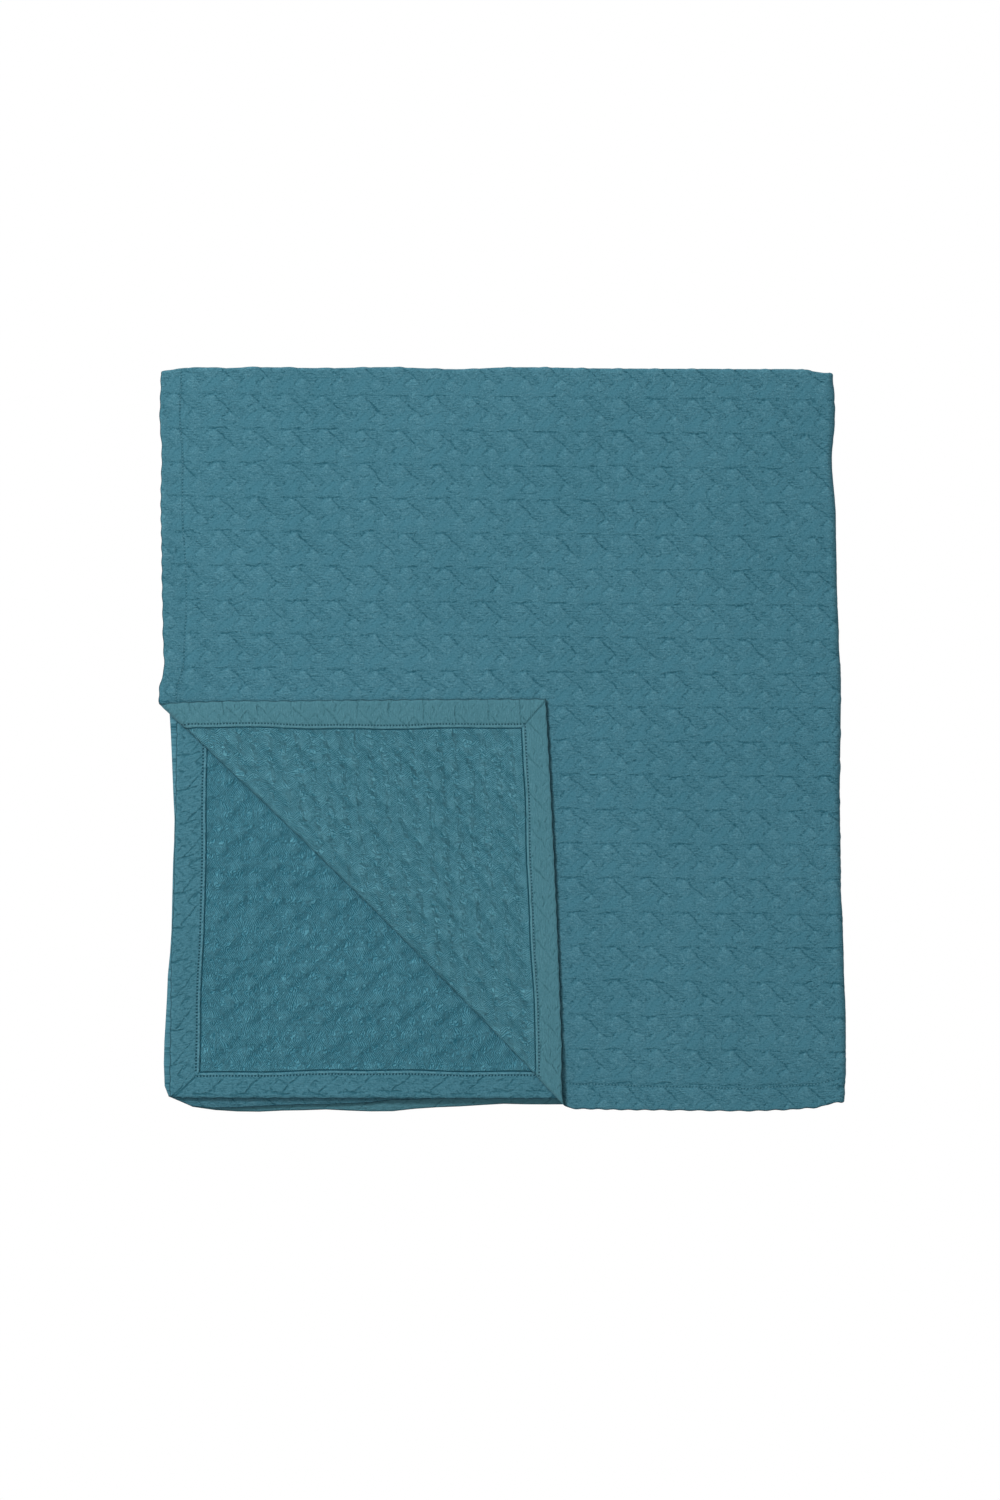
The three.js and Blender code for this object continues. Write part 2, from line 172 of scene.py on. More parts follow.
def layers(u, v):
    """The layer each chart point lies in, its place on the plain rectangle and the edges beside it."""
    half, v_share, v_turn = section(v, HALF, 2)
    panel, u_share, u_turn = section(u, PANEL, 3)
    below = half == 1
    cloth = (panel + u_share) * PANEL
    reach = np.where(below, 1 - v_share, v_share)
    x = -SIDE + PANEL * np.where(panel == 1, 1 - u_share, u_share)
    y = -FRONT + 2 * FRONT * reach
    far = FRONT + edge(FAR_FOLD, x) - RADIUS - FACE
    near = -FRONT - np.where(below, edge(NEAR_HEM_BELOW, cloth), edge(NEAR_HEM, cloth))
    right = SIDE + edge(RIGHT_FOLD, y) - BUNDLE - RADIUS - FACE
    return panel, below, u_share, u_turn, v_turn, cloth, reach, x, y, far, near, right


def folded(u, v, w):
    """The place in the pile of chart points that stand w above the cloth's middle."""
    panel, below, u_share, u_turn, v_turn, _, reach, flat_x, flat_y, far, near, right = layers(u, v)
    angle = np.where(below, math.pi, v_turn * math.pi)
    height = (RADIUS + w) * np.cos(angle)
    y = mix(near, far, reach) + (RADIUS + w) * np.sin(angle)

    left = -SIDE - edge(LEFT_FOLD, flat_y) + BUNDLE + RADIUS + FACE
    under = (1 - np.cos(angle)) / 2
    free = -SIDE - mix(edge(LEFT_HEM, flat_y), edge(UNDER_HEM, flat_y), under)
    last = SIDE + edge(RIGHT_HEM, flat_y)
    turn = u_turn * math.pi

    out_r = BUNDLE + height
    x0 = mix(free, right, u_share) + out_r * np.sin(turn)
    z0 = np.where(turn > 0, LAYER_TOP - BUNDLE + out_r * np.cos(turn), LAYER_TOP + height)
    in_r = BUNDLE - height
    x1 = mix(right, left, u_share) - in_r * np.sin(turn)
    z1 = np.where(turn > 0, LAYER_MIDDLE - BUNDLE + in_r * np.cos(turn), LAYER_MIDDLE - height)
    x2 = mix(left, last, u_share)
    z2 = LAYER_BOTTOM + height
    x = np.choose(panel.astype(int), [x0, x1, x2])
    z = np.choose(panel.astype(int), [z0, z1, z2])

    on_top = (panel == 0) & ~below & (turn <= 0) & (v_turn <= 0)
    cx, cy, cz = turn_corner(flat_x, flat_y, x - flat_x, y - flat_y, w)
    x = np.where(on_top, cx, x)
    y = np.where(on_top, cy, y)
    z = np.where(on_top, LAYER_TOP + RADIUS + cz, z)
    return np.stack([x, y, z], axis=-1)


def from_crease(u, v):
    """Where a chart point of the top layer lies from the middle of the crease."""
    return u - SIDE - crease_middle[0], v / HALF * 2 * FRONT - FRONT - crease_middle[1]


def past_crease(u, v):
    """How far a chart point of the top layer lies past the crease, towards the corner."""
    x, y = from_crease(u, v)
    return x * outward[0] + y * outward[1]


# One repeat of the woven pattern on the right side, as lines between its lozenges and straps.
# Places are in units of 0.875 mm from the middle of the first lozenge, x to the right and y down.
# Wide is half of a line's width, and tone is how dark (below zero) or light the line is. The dark tones
# are painted shade in the creases and beside the straps that lie over, and the light tones are painted
# highlights on the edges that face the lamps.
UNIT = 0.875
CELL_ACROSS = np.array([37.0, 0.4])
CELL_DOWN = np.array([2.0, 34.3])
CELL_START = (-0.30, -0.33)
TO_CELL = np.linalg.inv(np.stack([CELL_ACROSS, CELL_DOWN], axis=1))
SECOND = np.array([19.5, 17.15])
ORIGIN = np.array([4.4, 291.4])
# Columns: x0, y0, x1, y1, wide, tone
FRONT_LINES = [
    (-13.0, -8.2, 11.5, -8.4, 0.5, -0.72),
    (-5.0, -8.0, 4.0, -8.2, 0.8, -0.88),
    (-5.0, -7.5, -7.0, -4.5, 0.7, -0.60),
    (3.5, -6.0, 20.0, 9.1, 0.45, -0.75),
    (20.0, 9.1, 27.0, 15.5, 0.4, -0.35),
    (11.5, -8.0, 34.0, 9.5, 0.4, -0.20),
    (13.0, -9.6, 35.2, 7.7, 0.7, 0.28),
    (30.5, 13.5, 34.5, 9.5, 0.6, -0.55),
    (-7.0, 18.5, 8.5, 2.5, 0.7, 0.35),
    (-5.4, 20.1, 9.6, 4.6, 0.6, -0.30),
    (9.5, 16.1, 16.2, 10.1, 0.6, -0.55),
    (10.5, 16.7, 18.0, 23.2, 0.6, -0.55),
]
# The lines of one lozenge, about its own middle. Both lozenges of a repeat have them. The dark V is
# painted shade, and the light lower rim and the tip are painted highlights.
LOZENGE_LINES = [
    (-4.0, 1.5, 0.0, 4.5, 0.6, -0.55),
    (0.0, 4.5, 5.5, 2.0, 0.6, -0.55),
    (-7.0, 1.6, 0.5, 8.0, 0.7, 0.40),
    (0.5, 8.0, 7.5, 2.0, 0.7, 0.40),
    (-0.8, -5.3, 0.8, -5.2, 1.4, 0.65),
]
# The middles of the lozenges that reach into one cell, and of the straps that cross it.
LOZENGE_MIDDLES = [(0.0, 0.0), (19.5, 17.15), (-17.5, 16.75), (17.5, -17.15)]
STRAP_BODIES = [(8.0, -6.5, 29.0, 11.5)]
PLAIN_BODIES = [(-4.5, 20.5, 6.0, 12.5)]
# The wrong side has plain lozenges, each with a rim and a light tip, and darker bands between. The light
# upper rims and tips are painted highlights, and the dark lower rims and the bands are painted shade.
BACK_LINES = [
    (5.0, -7.0, 31.0, 14.0, 3.4, -0.45),
]
BACK_LOZENGE_LINES = [
    (-6.6, 0.0, 0.0, -5.8, 1.4, 0.17),
    (0.0, -5.8, 6.6, 0.4, 1.4, 0.13),
    (-0.7, -5.0, 0.7, -5.0, 2.2, 0.10),
    (-8.6, 1.8, 0.4, 9.6, 1.2, -0.26),
    (0.6, 9.6, 8.6, 2.0, 1.2, -0.26),
]


def all_lines(lines, lozenge):
    """The lines of a repeat, with those of its two lozenges."""
    rows = list(lines)
    for middle in ((0.0, 0.0), tuple(SECOND)):
        for x0, y0, x1, y1, wide, tone in lozenge:
            rows.append((x0 + middle[0], y0 + middle[1], x1 + middle[0], y1 + middle[1], wide, tone))
    return rows


def lines_in_cell(lines, reach):
    """The lines that show in one cell, with those that run in from the cells beside it."""
    low = np.array(CELL_START)
    rows = []
    for x0, y0, x1, y1, wide, tone in lines:
        for i in (-1, 0, 1):
            for j in (-1, 0, 1):
                move = CELL_ACROSS * i + CELL_DOWN * j
                steps = np.linspace(0, 1, 12)[:, None]
                points = mix(np.array([x0, y0]), np.array([x1, y1]), steps) + move
                shares = points @ TO_CELL.T
                edge_room = (wide + reach) / 34.0
                inside = (shares > low - edge_room) & (shares < low + 1 + edge_room)
                if inside.all(axis=1).any():
                    rows.append((x0 + move[0], y0 + move[1], x1 + move[0], y1 + move[1], wide, tone))
    return rows


FRONT_CELL = lines_in_cell(all_lines(FRONT_LINES, LOZENGE_LINES), 1.0)
BACK_CELL = lines_in_cell(all_lines(BACK_LINES, BACK_LOZENGE_LINES), 1.0)


def in_cell(s, t):
    """Where cloth places lie in the pattern's cell, in units of the tables above."""
    x = (s - SIDE - ORIGIN[0]) / UNIT
    y = (ORIGIN[1] - (t - FRONT)) / UNIT
    a = TO_CELL[0, 0] * x + TO_CELL[0, 1] * y - CELL_START[0]
    b = TO_CELL[1, 0] * x + TO_CELL[1, 1] * y - CELL_START[1]
    a = a - np.floor(a) + CELL_START[0]
    b = b - np.floor(b) + CELL_START[1]
    return a * CELL_ACROSS[0] + b * CELL_DOWN[0], a * CELL_ACROSS[1] + b * CELL_DOWN[1]


def lozenge_rise(x, y):
    """A soft bump over each of the two lozenges of a cell, one high at its middle."""
    rise = np.zeros_like(x)
    for i in (-1, 0, 1):
        for j in (-1, 0, 1):
            for middle in (np.zeros(2), SECOND):
                place = middle + CELL_ACROSS * i + CELL_DOWN * j
                far = np.abs(x - place[0]) / 8.5 + np.abs(y - place[1]) / 8.0
                rise = np.maximum(rise, smooth(np.clip(1.25 - far, 0, 1)))
    return rise


def strap_hollow(x, y, lines, spread):
    """How deep the dark lines of a cell press the cloth in, from 0 to 1."""
    deep = np.zeros_like(x)
    for x0, y0, x1, y1, wide, tone in lines:
        if tone > 0:
            continue
        length = math.hypot(x1 - x0, y1 - y0)
        dx, dy = (x1 - x0) / length, (y1 - y0) / length
        run = np.clip((x - x0) * dx + (y - y0) * dy, 0, length)
        far = np.hypot(x - x0 - run * dx, y - y0 - run * dy)
        deep = np.maximum(deep, -tone * smooth(np.clip(1 - far / (wide + spread), 0, 1)))
    return deep


def hem_edges(u, v):
    """Distances from the sheet's own edges, across and along."""
    panel, u_share, _ = section(u, PANEL, 3)
    half, v_share, _ = section(v, HALF, 2)
    cloth = (panel + u_share) * PANEL
    deep = (half + v_share) * HALF
    return np.minimum(cloth, LENGTH - cloth), np.minimum(deep, WIDTH - deep)


# How much narrower than HEM_WIDTH the hems are, by the half of the cloth and by their edge.
HEM_NARROW = dict(upper_left=-1.4, upper_near=0.4, under_left=-2.2, under_near=1.4)
# The upper left hem tapers along its length by this share.
HEM_TAPER = 0.011
# On the right side the left hem's stitch line swings: its distance from the edge at three places.
LINE_SWING = dict(start=365.0, middle=452.0, end=650.0, near=15.5, far=22.6, last=18.0)
# The near hem's stitch line lies this far from the edge.
LINE_NEAR = 21.5
# How far the stitch line lies inside the hem's width, on the right side and on the wrong side.
FRONT_INSET = 4.2
BACK_INSET = 2.8
# How far past the stitch line the hem's light lip and the dark line at its end lie: a painted highlight
# and a painted shadow.
LIP_PAST = 1.7
HEM_SHADOW_PAST = 3.6
# A hem line wanders a little: how far, over what length and from where each wave of it starts.
WANDER = [(0.55, 36.0, 0.0), (0.35, 13.5, 1.0), (0.8, 90.0, 2.2)]


def wander(run):
    """How far a hem line strays from straight at places along it."""
    return sum(far * np.sin(run / length + start) for far, length, start in WANDER)


def front_line(run):
    """Distance of the left hem's stitch line from the edge, on the right side of the cloth."""
    swing = LINE_SWING
    first = smooth(np.clip((run - swing["start"]) / (swing["middle"] - swing["start"]), 0, 1))
    second = smooth(np.clip((run - swing["middle"]) / (swing["end"] - swing["middle"]), 0, 1))
    return np.minimum(mix(swing["near"], swing["far"], first), mix(swing["far"], swing["last"], second))


def hem_distance(u, v):
    """Distance of the wrong side's places from the edge that a hem line is measured from."""
    du, dv = hem_edges(u, v)
    under = v > HALF + BAND / 2
    upper_left = HEM_NARROW["upper_left"] + HEM_TAPER * dv
    du = du + np.where(under, HEM_NARROW["under_left"], upper_left) + wander(dv)
    dv = dv + np.where(under, HEM_NARROW["under_near"], HEM_NARROW["upper_near"]) + wander(du)
    return np.minimum(du, dv)


def unevenness(x, y, size, seed):
    """A gentle unevenness over a face, read from a coarse grid of noise."""
    columns = int(2200 / size) + 3
    rows = int(1700 / size) + 3
    grid = np.array([
        [noise.noise(Vector((i * 0.83, j * 0.83, seed))) for i in range(columns)] for j in range(rows)
    ])
    gx = np.clip(x / size + 1, 0, columns - 2.001)
    gy = np.clip(y / size + 1, 0, rows - 2.001)
    i, j = gx.astype(int), gy.astype(int)
    fx, fy = smooth(gx - i), smooth(gy - j)
    low = mix(grid[j, i], grid[j, i + 1], fx)
    high = mix(grid[j + 1, i], grid[j + 1, i + 1], fx)
    return mix(low, high, fy)


def cloth_place(u, v):
    """The place on the cloth for the pattern: in line with the top layer as it lies."""
    panel, below, u_share, u_turn, v_turn, cloth, reach, _, flat_y, far, near, right = layers(u, v)
    y = mix(near, far, reach)
    t = np.where(below, 2 * far + FRONT + TOP_ARC - y, y + FRONT + v_turn * TOP_ARC)
    free = -SIDE - np.where(below, edge(UNDER_HEM, flat_y), edge(LEFT_HEM, flat_y))
    first = mix(free, right, u_share) + SIDE + u_turn * OUTER_ARC
    s = np.where(panel == 0, first, right + SIDE + OUTER_ARC + (cloth - PANEL))
    return s, t


# Each side's quilting: how high its lozenges rise, how deep its lines are pressed, and how far
# beside a line the cloth is drawn in.
FRONT_RELIEF = dict(rise=0.27, press=0.16, spread=2.2)
BACK_RELIEF = dict(rise=0.26, press=0.2, spread=2.6)
# The share by which the right side's quilting stands out more, at most, round the outer folds.
FOLD_GAIN = 1.4
# How deep the hems are pressed in along their stitches, and the size of the cloth's unevenness.
HEM_PRESS = 0.35
UNEVEN_SIZE = 34.0


def relief(u, v, side):
    """How far a face stands out from the sheet's plain thickness."""
    s, t = cloth_place(u, v)
    x, y = in_cell(s, t)
    du, dv = hem_edges(u, v)
    near_edge = np.minimum(du, dv)
    soft = unevenness(s, t, UNEVEN_SIZE, 3.7 + side)
    form, lines = (FRONT_RELIEF, FRONT_CELL) if side == 0 else (BACK_RELIEF, BACK_CELL)
    field = form["rise"] * lozenge_rise(x, y) - form["press"] * strap_hollow(x, y, lines, form["spread"])
    if side == 0:
        to_bend = np.minimum(np.abs(u - PANEL - BAND / 2), np.abs(v - HALF - BAND / 2)) / BAND
        field = field * (1 + FOLD_GAIN * smooth(np.clip(1 - to_bend, 0, 1)))
        hem = smooth(np.clip(1 - np.abs(near_edge - HEM_WIDTH + 4.0) / 4.0, 0, 1))
        field = field * (0.8 + 0.4 * soft) - HEM_PRESS * hem
        return field + 0.25 * soft
    to_line = hem_distance(u, v)
    on_hem = smooth(np.clip((HEM_WIDTH - to_line) / HEM_SLOPE, 0, 1))
    stitch_line = smooth(np.clip(1 - np.abs(to_line - HEM_WIDTH + 2.6) / 2.4, 0, 1))
    return mix(field, HEM_STEP + 0.15 * soft - HEM_PRESS * stitch_line, on_hem) + 0.2 * soft


# How far in from the rim the first points of each face lie, and all others at least.
INSET = 0.45
RIM_ROOM = 1.6
# The rows of points round each fold and round the crease.
STATIONS_OUTER = np.linspace(0, BAND, 11)
STATIONS_TOP = np.linspace(0, BAND, 9)
CREASE_ROWS = 8
# How far the points of the mesh stray from their rows.
FINE_STRAY = 0.25
COARSE_STRAY = 1.0
# Where the cloth starts to thin towards its edges, and by how much on each face.
ROUND_FROM = 1.8
ROUND_DEEP = 0.35


def seen_on(side, u, v, margin):
    """True where a face of the sheet can be seen in the pile, with a margin under what covers it."""
    if side == 0:
        on_top = (u < PANEL) & (v < HALF)
        past = past_crease(u, v)
        x, y = from_crease(u, v)
        mirror_x = x - 2 * past * outward[0] + crease_middle[0]
        mirror_y = y - 2 * past * outward[1] + crease_middle[1]
        covered = (mirror_x > -SIDE + margin) & (mirror_y > -FRONT + margin)
        return on_top & (past < 12) & ~(covered & (past < -margin))
    corner = (u < PANEL) & (v < HALF) & (past_crease(u, v) > -margin)
    reach_v = CHART_V - v
    under = (u < PANEL) & (reach_v < HALF) & (past_crease(u, reach_v) > -margin)
    return corner | under


def staggered(step, low_u, high_u, low_v, high_v):
    """Points in rows, each row moved by half a step, that fill a rectangle of the chart."""
    rows = int((high_v - low_v) / (step * 0.866)) + 1
    columns = int((high_u - low_u) / step) + 1
    j, i = np.mgrid[0:rows, 0:columns]
    u = low_u + (i + 0.5 * (j % 2)) * step
    v = low_v + j * step * 0.866
    return np.stack([u.ravel(), v.ravel()], axis=1)


def crease_points():
    """Rows of points round the bend of the turned corner."""
    points = []
    r = CREASE["radius"]
    for past in np.linspace(0, math.pi * r, CREASE_ROWS):
        q = np.arange(-crease_half - 20, crease_half + 20, FINE)
        out = past - bow_at(q) - r
        x = crease_middle[0] + along[0] * q + outward[0] * out
        y = crease_middle[1] + along[1] * q + outward[1] * out
        points.append(np.stack([x + SIDE, (y + FRONT) / (2 * FRONT) * HALF], axis=1))
    rows = np.concatenate(points)
    keep = (rows[:, 0] > 1.5) & (rows[:, 1] > 1.5) & (rows[:, 0] < PANEL) & (rows[:, 1] < HALF)
    return rows[keep]


def band_steps(first, step, panel, stations, chart):
    """Places of the points along a fold's band: even on the first panel and coarse past its fold."""
    return np.concatenate([np.arange(first, panel, step), stations + panel,
                           np.arange(panel + BAND + COARSE, chart - 4, COARSE)])


def side_points(side, rng):
    """All inner points of one face of the sheet, on the chart."""
    first, step = (2.4, FINE) if side == 0 else (10, COARSE)
    v_steps = band_steps(first, step, HALF, STATIONS_TOP, CHART_V)
    u_steps = band_steps(first, step, PANEL, STATIONS_OUTER, CHART_U)
    wide_steps = band_steps(10, COARSE, HALF, STATIONS_TOP, CHART_V)
    bands = []
    for start in (PANEL, 2 * PANEL + BAND):
        steps = v_steps if start == PANEL else wide_steps
        gu, gv = np.meshgrid(start + STATIONS_OUTER, steps)
        bands.append(np.stack([gu.ravel(), gv.ravel()], axis=1))
    gu, gv = np.meshgrid(u_steps, HALF + STATIONS_TOP)
    bands.append(np.stack([gu.ravel(), gv.ravel()], axis=1))
    bands = np.unique(np.concatenate(bands).round(4), axis=0)

    fine = staggered(FINE, 2.4, PANEL - 1.2, 2.4, CHART_V - 2.4)
    fine = fine[seen_on(side, fine[:, 0], fine[:, 1], 9.0)]
    fine = fine + rng.uniform(-FINE_STRAY, FINE_STRAY, fine.shape)
    coarse = staggered(COARSE, 9.0, CHART_U - 9, 9.0, CHART_V - 9)
    coarse = coarse[~seen_on(side, coarse[:, 0], coarse[:, 1], 14.0)]
    coarse = coarse + rng.uniform(-COARSE_STRAY, COARSE_STRAY, coarse.shape)

    def clear_of_bands(points, room):
        keep = np.ones(len(points), bool)
        for start in (PANEL, 2 * PANEL + BAND):
            keep &= (points[:, 0] < start - room) | (points[:, 0] > start + BAND + room)
        keep &= (points[:, 1] < HALF - room) | (points[:, 1] > HALF + BAND + room)
        past = past_crease(points[:, 0], points[:, 1])
        x, y = from_crease(points[:, 0], points[:, 1])
        over = past + bow_at(x * along[0] + y * along[1]) + CREASE["radius"]
        near_bend = (over > -room) & (over < math.pi * CREASE["radius"] + room)
        keep &= ~(near_bend & (points[:, 0] < PANEL) & (points[:, 1] < HALF))
        return points[keep]

    return np.concatenate([bands, crease_points(), clear_of_bands(fine, 1.3),
                           clear_of_bands(coarse, 7.0)])


def rim_points():
    """The chart's outline, anticlockwise, fine beside the top layer and coarse elsewhere."""
    def run(low, high, fine_to, fine_from):
        inner = [low]
        place = low
        while place < high - 1e-6:
            step = FINE if (place < fine_to or place > fine_from) else COARSE
            place = min(place + step, high)
            if high - place < step * 0.4:
                place = high
            inner.append(place)
        return np.array(inner)

    across = run(0.0, CHART_U, PANEL + BAND, 1e9)
    up = run(0.0, CHART_V, HALF + BAND, CHART_V - HALF)
    right = run(0.0, CHART_V, -1, 1e9)
    bottom = np.stack([across, np.zeros_like(across)], axis=1)
    side = np.stack([np.full_like(right, CHART_U), right], axis=1)
    top = np.stack([across[::-1], np.full_like(across, CHART_V)], axis=1)
    left = np.stack([np.zeros_like(up), up[::-1]], axis=1)
    return np.concatenate([bottom[:-1], side[:-1], top[:-1], left[:-1]])


SCALLOP_DEEP = 0.35
SCALLOP_FADE = 7.0


def scalloped(u, v):
    """Draws the free edges in and out a little between the puckers of their hems."""
    du, dv = hem_edges(u, v)
    left = SCALLOP_DEEP * np.sin(v / 14.6 * 2 * math.pi + 1.9 * np.sin(v / 27.0))
    left = left * np.exp(-du / SCALLOP_FADE)
    near = SCALLOP_DEEP * np.sin(u / 15.3 * 2 * math.pi + 1.9 * np.sin(u / 31.0))
    near = near * np.exp(-dv / SCALLOP_FADE)
    return u + left * (u < PANEL), v + near * np.where(v < HALF, 1.0, -1.0)


def build_throw():
    """The whole cloth as one closed mesh, with its chart kept for the stitches and the weave."""
    rng = np.random.default_rng(11)
    rim = rim_points()
    count = len(rim)
    inward = np.stack([
        np.where(rim[:, 0] <= 0, INSET, np.where(rim[:, 0] >= CHART_U, -INSET, 0)),
        np.where(rim[:, 1] <= 0, INSET, np.where(rim[:, 1] >= CHART_V, -INSET, 0)),
    ], axis=1)
    faces, charts, heights, sides, rings = [], [], [], [], []
    start = 0
    for side in (0, 1):
        inner = side_points(side, rng)
        room = (inner[:, 0] > RIM_ROOM) & (inner[:, 0] < CHART_U - RIM_ROOM)
        room &= (inner[:, 1] > RIM_ROOM) & (inner[:, 1] < CHART_V - RIM_ROOM)
        points = np.concatenate([rim + inward, inner[room]])
        flat = [Vector((float(a), float(b))) for a, b in points]
        result = delaunay_2d_cdt(flat, [], [], 0, 1e-7)
        origin = [item[0] for item in result[3]]
        triangles = np.array([[origin[k] for k in face] for face in result[2]])
        a, b, c = (points[triangles[:, k]] for k in range(3))
        turn = (b[:, 0] - a[:, 0]) * (c[:, 1] - a[:, 1]) - (b[:, 1] - a[:, 1]) * (c[:, 0] - a[:, 0])
        triangles = triangles[np.abs(turn) > 1e-6]
        turn = turn[np.abs(turn) > 1e-6]
        flip = (turn < 0) if side == 0 else (turn > 0)
        triangles[flip] = triangles[flip][:, ::-1]
        faces.append(triangles + start)
        u, v = points[:, 0], points[:, 1]
        seen = seen_on(side, u, v, 8.0) | ((u >= PANEL) & (u <= PANEL + BAND) & (v < HALF + BAND))
        seen |= (v >= HALF) & (v <= HALF + BAND) & (u < PANEL + BAND)
        raised = np.where(seen, relief(u, v, side), 0.0)
        edge_near = np.minimum(*hem_edges(u, v))
        rounding = np.clip(1 - edge_near / ROUND_FROM, 0, 1) ** 2 * ROUND_DEEP
        height = FACE + raised - rounding
        heights.append(height if side == 0 else -height)
        charts.append(points)
        sides.append(np.full(len(points), float(side)))
        rings.append(np.arange(count) + start)
        start += len(points)
    charts.append(rim)
    heights.append(np.zeros(count))
    sides.append(np.full(count, 0.5))
    middle = np.arange(count) + start
    following = np.roll(np.arange(count), -1)
    quads = np.concatenate([
        np.stack([middle, middle[following], rings[0][following], rings[0]], axis=1),
        np.stack([rings[1], rings[1][following], middle[following], middle], axis=1),
    ])
    chart = np.concatenate(charts)
    height = np.concatenate(heights)
    side = np.concatenate(sides)
    u, v = scalloped(chart[:, 0], chart[:, 1])
    place = folded(u, v, height)
    return dict(place=place, chart=chart, side=side, triangles=np.concatenate(faces), quads=quads)


def new_object(name, vertices, faces):
    mesh = bpy.data.meshes.new(name)
    mesh.from_pydata((vertices * MM).tolist(), [], faces)
    mesh.update()
    mesh.polygons.foreach_set("use_smooth", [True] * len(mesh.polygons))
    piece = bpy.data.objects.new(name, mesh)
    bpy.context.collection.objects.link(piece)
    return piece


def add_vectors(mesh, name, values):
    layer = mesh.attributes.new(name, "FLOAT_VECTOR", "POINT")
    layer.data.foreach_set("vector", np.ascontiguousarray(values, dtype=np.float32).ravel())


throw = build_throw()
low, high = throw["place"].min(axis=0), throw["place"].max(axis=0)
SHIFT = np.array([-(low[0] + high[0]) / 2, -(low[1] + high[1]) / 2, -low[2]])
cloth = new_object("throw_cloth", throw["place"] + SHIFT,
                   throw["triangles"].tolist() + throw["quads"].tolist())
s_all, t_all = cloth_place(throw["chart"][:, 0], throw["chart"][:, 1])
du_all, dv_all = hem_edges(throw["chart"][:, 0], throw["chart"][:, 1])
add_vectors(cloth.data, "cloth", np.stack([s_all, t_all, throw["side"]], axis=1))
half_all = (throw["chart"][:, 1] > HALF + BAND / 2).astype(float)
add_vectors(cloth.data, "edges", np.stack([du_all, dv_all, half_all], axis=1))


# The rows of hem stitches that show: the face of the sheet they are on, and the hem they hold.
STITCH_ROWS = [
    (0, "upper_left"), (0, "upper_near"), (1, "upper_left"), (1, "upper_near"),
    (1, "under_left"), (1, "under_near"),
]
# The hem stitches: from one to the next, how long and how thick they are, and how far along the
# hem the first one lies. Each is a tube of SECTIONS rings of RING points.
STITCH_PITCH = 2.87
STITCH_LONG = 2.1
STITCH_WIDE = 0.62
STITCH_START = HEM_WIDTH - BACK_INSET + 1.4
RING = 6
SECTIONS = 5


def build_stitches(rng):
    """Short threads sunk at both ends, one after another along each hem that shows."""
    vertices = []
    faces = []
    start = 0
    shares = np.linspace(-0.5, 0.5, SECTIONS)
    fullness = np.array([0.25, 0.9, 1.0, 0.9, 0.25])
    sink = np.array([-0.45, 0.1, 0.22, 0.1, -0.45])
    for side, hem in STITCH_ROWS:
        on_left = hem.endswith("left")
        places = np.arange(STITCH_START, (HALF if on_left else PANEL) - 2, STITCH_PITCH)
        if side == 1:
            narrow = HEM_NARROW[hem]
            if hem == "upper_left":
                narrow = narrow + HEM_TAPER * places
            across = HEM_WIDTH - BACK_INSET - narrow - wander(places)
        elif on_left:
            across = front_line(places) - wander(places)
        else:
            across = LINE_NEAR - wander(places)
        angle = rng.normal(0, 0.07, len(places))
        size = 1 + rng.normal(0, 0.08, len(places))
        along_row = places[:, None] + shares * (STITCH_LONG * size)[:, None] * np.cos(angle)[:, None]
        over_row = across[:, None] + shares * (STITCH_LONG * size)[:, None] * np.sin(angle)[:, None]
        turn = np.arange(RING) * 2 * math.pi / RING
        wide = STITCH_WIDE / 2 * fullness
        a = np.repeat(along_row[:, :, None], RING, axis=2)
        b = over_row[:, :, None] + wide[None, :, None] * np.cos(turn)[None, None, :]
        lift = sink[None, :, None] + wide[None, :, None] * np.sin(turn)[None, None, :]
        u, v = (b, a) if on_left else (a, b)
        if hem.startswith("under"):
            v = CHART_V - v
        middle_u = np.repeat(u.mean(axis=(1, 2)), SECTIONS * RING)
        middle_v = np.repeat(v.mean(axis=(1, 2)), SECTIONS * RING)
        su, sv = scalloped(u.ravel(), v.ravel())
        height = FACE + relief(middle_u, middle_v, side) + np.broadcast_to(lift, u.shape).ravel()
        past = past_crease(middle_u, np.where(middle_v > HALF, CHART_V - middle_v, middle_v))
        keep = past < 2 if side == 0 else past > -4
        height = height if side == 0 else -height
        place = folded(su, sv, height).reshape(len(places), SECTIONS * RING, 3)
        keep = keep.reshape(len(places), -1).all(axis=1)
        for points in place[keep]:
            vertices.append(points)
            for k in range(SECTIONS - 1):
                for m in range(RING):
                    n = (m + 1) % RING
                    faces.append([start + k * RING + m, start + k * RING + n,
                                  start + (k + 1) * RING + n, start + (k + 1) * RING + m])
            faces.append([start + m for m in range(RING)][::-1])
            faces.append([start + (SECTIONS - 1) * RING + m for m in range(RING)])
            start += SECTIONS * RING
    return np.concatenate(vertices), faces


stitch_places, stitch_faces = build_stitches(np.random.default_rng(5))
stitches = new_object("hem_stitches", stitch_places + SHIFT, stitch_faces)


